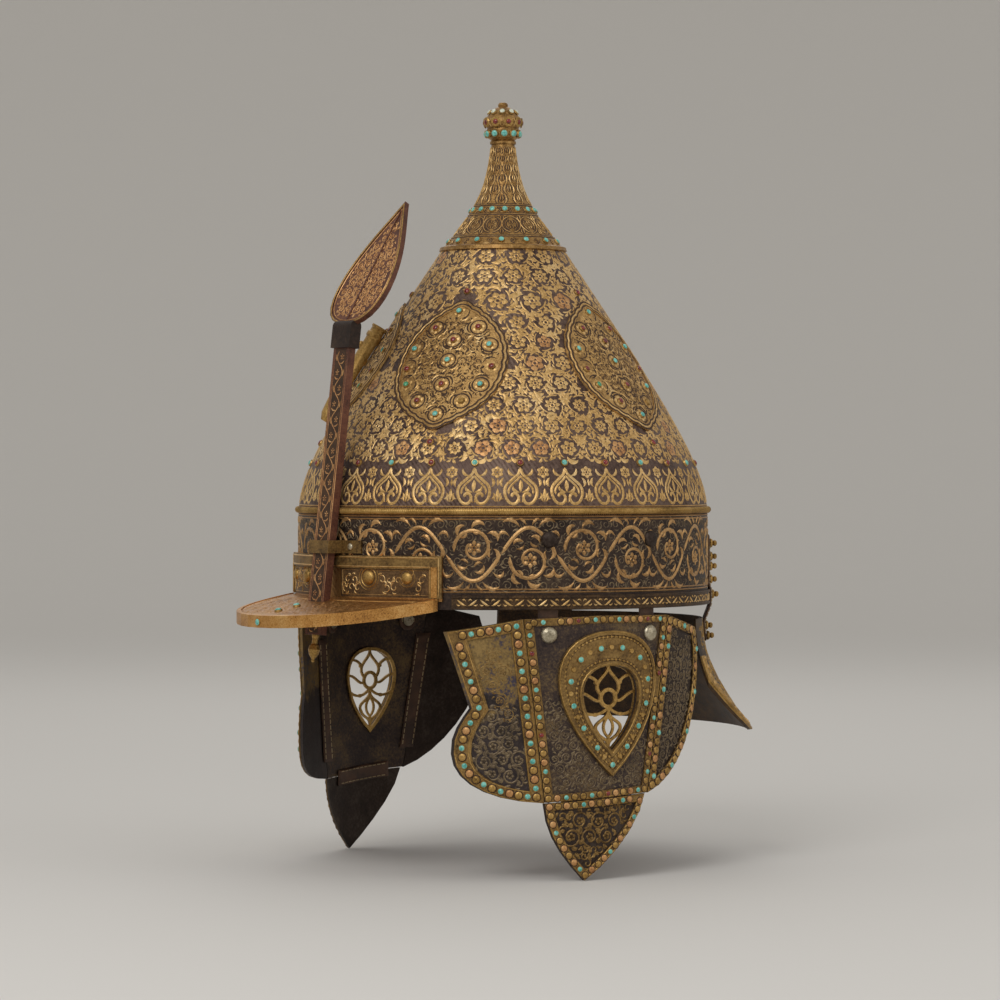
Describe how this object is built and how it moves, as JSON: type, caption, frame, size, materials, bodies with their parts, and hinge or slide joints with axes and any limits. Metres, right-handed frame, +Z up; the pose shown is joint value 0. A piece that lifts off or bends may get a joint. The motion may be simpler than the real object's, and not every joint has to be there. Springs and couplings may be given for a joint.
{
  "type": "parade helmet",
  "caption": "Pointed parade helmet with a round steel bowl, peak, sliding nasal bar with a leaf finial, hinged cheek pieces, plume socket and a hung neck guard.",
  "frame": {"origin": "on the bowl's axis, in the plane of its lower rim, where a wearer's head or a stand's dome holds it", "axes": "+Z up through the finial, -Y the way the wearer faces, +X the wearer's left"},
  "size_m": [0.2366, 0.309, 0.4318],
  "materials": {
    "steel": "dark russet steel damascened with gold",
    "gilt": "gilt copper, worn",
    "dark_gilt": "darkened gilding over chased copper",
    "silver": "tarnished silver",
    "leather": "oiled",
    "lining": "quilted red-brown cotton",
    "nasal": "red-brown ground with gold"
  },
  "bodies": {
    "root": {"bowl": "steel", "band": "steel", "crown_cap": "gilt", "finial": "gilt", "upper_moulding": "gilt", "brim_border": "gilt", "medallion_front_left": "gilt", "medallion_front_right": "gilt", "medallion_side_left": "gilt", "medallion_side_right": "gilt", "medallion_rear": "gilt", "visor": "dark_gilt", "visor_trim": "gilt", "visor_rim": "gilt", "visor_rivets": "gilt", "nasal_staple": "dark_gilt", "nasal_spring": "silver", "staple_rivets": "silver", "plume_socket": "gilt", "band_rivets": "silver", "lining": "lining", "lining_band": "lining", "cheek_straps_left": "leather", "cheek_straps_right": "leather", "neck_straps": "leather", "neck_strap_knobs": "gilt"},
    "nasal": {"nasal_bar": "nasal", "nasal_leaf": "nasal", "nasal_collar": "dark_gilt", "nasal_knob": "gilt"},
    "cheek_left": {"cheek_centre_left": "steel", "cheek_centre_border_left": "dark_gilt", "ear_frame_left": "gilt", "ear_grille_left": "gilt", "cheek_rivets_left": "silver", "seam_leathers_left": "leather"},
    "cheek_front_left": {"cheek_front_left": "steel", "cheek_front_border_left": "dark_gilt"},
    "cheek_rear_left": {"cheek_rear_left": "steel", "cheek_rear_border_left": "dark_gilt"},
    "cheek_lower_left": {"cheek_lower_left": "steel", "cheek_lower_border_left": "dark_gilt"},
    "cheek_right": {"cheek_centre_right": "steel", "cheek_centre_border_right": "dark_gilt", "ear_frame_right": "gilt", "ear_grille_right": "gilt", "cheek_rivets_right": "silver", "seam_leathers_right": "leather"},
    "cheek_front_right": {"cheek_front_right": "steel", "cheek_front_border_right": "dark_gilt"},
    "cheek_rear_right": {"cheek_rear_right": "steel", "cheek_rear_border_right": "dark_gilt"},
    "cheek_lower_right": {"cheek_lower_right": "steel", "cheek_lower_border_right": "dark_gilt"},
    "neck_guard": {"neck_guard": "steel", "neck_guard_border": "gilt", "neck_guard_knobs": "gilt"}
  },
  "joints": [
    {"name": "nasal_slide", "type": "slide", "parent": "root", "child": "nasal", "axis": [0, 0.1229, 0.9924], "range_m": [-0.075, 0.012]},
    {"name": "cheek_hinge_left", "type": "hinge", "parent": "root", "child": "cheek_left", "pos_m": [0.11264, -0.01754, -0.0012], "axis": [-0.1538, -0.9881, 0], "range_deg": [-8, 45], "deforming": ["cheek_straps_left"]},
    {"name": "cheek_front_fold_left", "type": "hinge", "parent": "cheek_left", "child": "cheek_front_left", "pos_m": [0.09956, -0.05595, -0.05475], "axis": [0.0567, 0.1008, -0.9933], "range_deg": [0, 30], "deforming": ["seam_leathers_left"]},
    {"name": "cheek_rear_fold_left", "type": "hinge", "parent": "cheek_left", "child": "cheek_rear_left", "pos_m": [0.11237, 0.0195, -0.0525], "axis": [-0.0289, 0.1666, 0.9856], "range_deg": [0, 25], "deforming": ["seam_leathers_left"]},
    {"name": "cheek_lower_fold_left", "type": "hinge", "parent": "cheek_left", "child": "cheek_lower_left", "pos_m": [0.10826, -0.02065, -0.10305], "axis": [0.1871, 0.9807, 0.0573], "range_deg": [0, 35], "deforming": ["seam_leathers_left"]},
    {"name": "cheek_hinge_right", "type": "hinge", "parent": "root", "child": "cheek_right", "pos_m": [-0.11264, -0.01754, -0.0012], "axis": [-0.1538, 0.9881, 0], "range_deg": [-8, 45], "deforming": ["cheek_straps_right"]},
    {"name": "cheek_front_fold_right", "type": "hinge", "parent": "cheek_right", "child": "cheek_front_right", "pos_m": [-0.09956, -0.05595, -0.05475], "axis": [0.0567, -0.1008, 0.9933], "range_deg": [0, 30], "deforming": ["seam_leathers_right"]},
    {"name": "cheek_rear_fold_right", "type": "hinge", "parent": "cheek_right", "child": "cheek_rear_right", "pos_m": [-0.11237, 0.0195, -0.0525], "axis": [-0.0289, -0.1666, -0.9856], "range_deg": [0, 25], "deforming": ["seam_leathers_right"]},
    {"name": "cheek_lower_fold_right", "type": "hinge", "parent": "cheek_right", "child": "cheek_lower_right", "pos_m": [-0.10826, -0.02065, -0.10305], "axis": [0.1871, -0.9807, -0.0573], "range_deg": [0, 35], "deforming": ["seam_leathers_right"]},
    {"name": "neck_guard_swing", "type": "hinge", "parent": "root", "child": "neck_guard", "pos_m": [0, 0.112, -0.006], "axis": [1, 0, 0], "range_deg": [-6, 45], "deforming": ["neck_straps"]}
  ]
}
